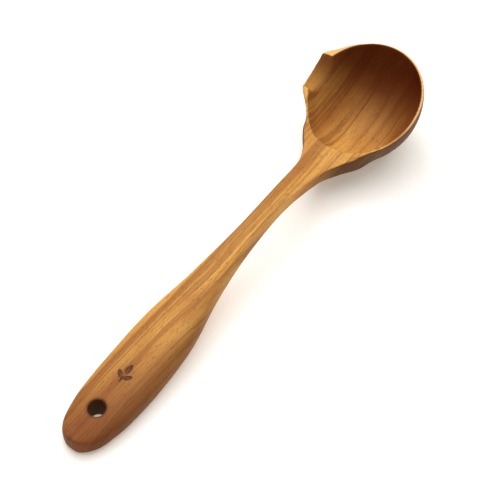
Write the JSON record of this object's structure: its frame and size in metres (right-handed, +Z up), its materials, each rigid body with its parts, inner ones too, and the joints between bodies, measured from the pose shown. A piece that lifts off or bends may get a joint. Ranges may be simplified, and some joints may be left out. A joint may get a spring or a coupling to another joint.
{
  "type": "serving ladle",
  "caption": "Carved wooden serving ladle with an oval tilted bowl, a pouring lip on one side, an arched slim neck and a wide grip with a drilled hanging hole.",
  "frame": {"origin": "middle of the footprint at table height: the ladle lies on Z = 0 on the bowl's belly and the grip's underside", "axes": "+Y along the handle towards the bowl, +Z up out of the bowl, the pouring lip points to -X"},
  "size_m": [0.0738, 0.302, 0.0496],
  "materials": {
    "oiled_wood": "satin",
    "charred_wood": "matte"
  },
  "bodies": {
    "root": {"spoon": "oiled_wood", "burned_mark": "charred_wood"}
  },
  "joints": []
}
